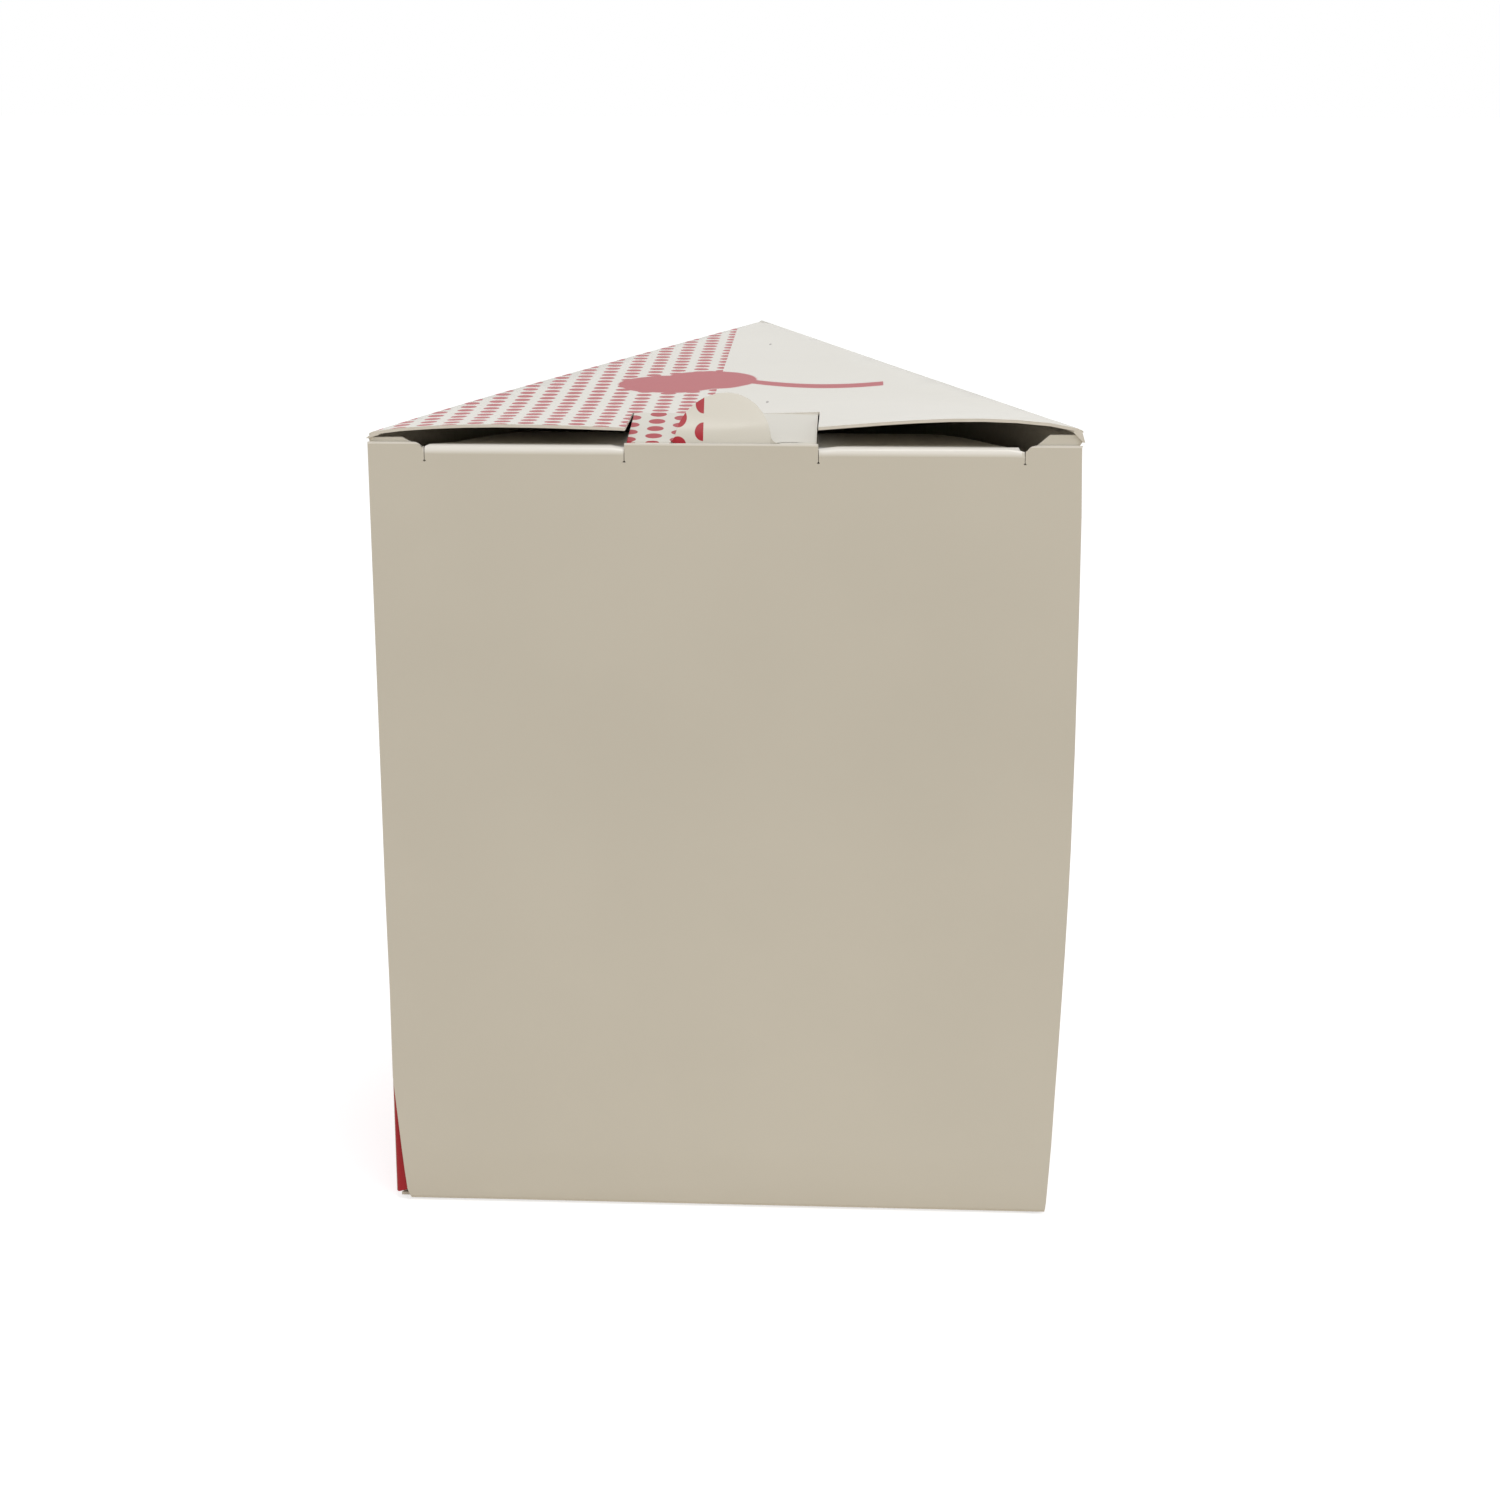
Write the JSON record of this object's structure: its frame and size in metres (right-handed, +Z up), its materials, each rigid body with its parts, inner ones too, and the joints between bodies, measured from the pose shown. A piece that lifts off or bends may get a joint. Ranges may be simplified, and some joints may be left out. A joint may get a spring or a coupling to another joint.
{
  "type": "cake slice box",
  "caption": "Wedge-shaped carton for a slice of cake, folded from coated board, closed by a tuck flap and a locking tongue with a half-moon thumb tab.",
  "frame": {"origin": "centre of the footprint, on the surface the box stands on", "axes": "+Z up, the wide closing end faces -Y, the nose points to +Y, +X to the right seen from the wide end"},
  "size_m": [0.1008, 0.1242, 0.1231],
  "materials": {
    "coated_board": "white coated folding board, glossy outside, uncoated inside, with printed dots",
    "printed_board": "white coated folding board, glossy, with printed red dots"
  },
  "bodies": {
    "box": {"carton": "coated_board"},
    "tongue": {"locking_tongue": "printed_board"}
  },
  "joints": [
    {"name": "tongue_hinge", "type": "hinge", "parent": "box", "child": "tongue", "pos_m": [-0.0004, -0.04698, 0.11795], "axis": [-1, 0, 0], "range_deg": [0, 120]}
  ]
}
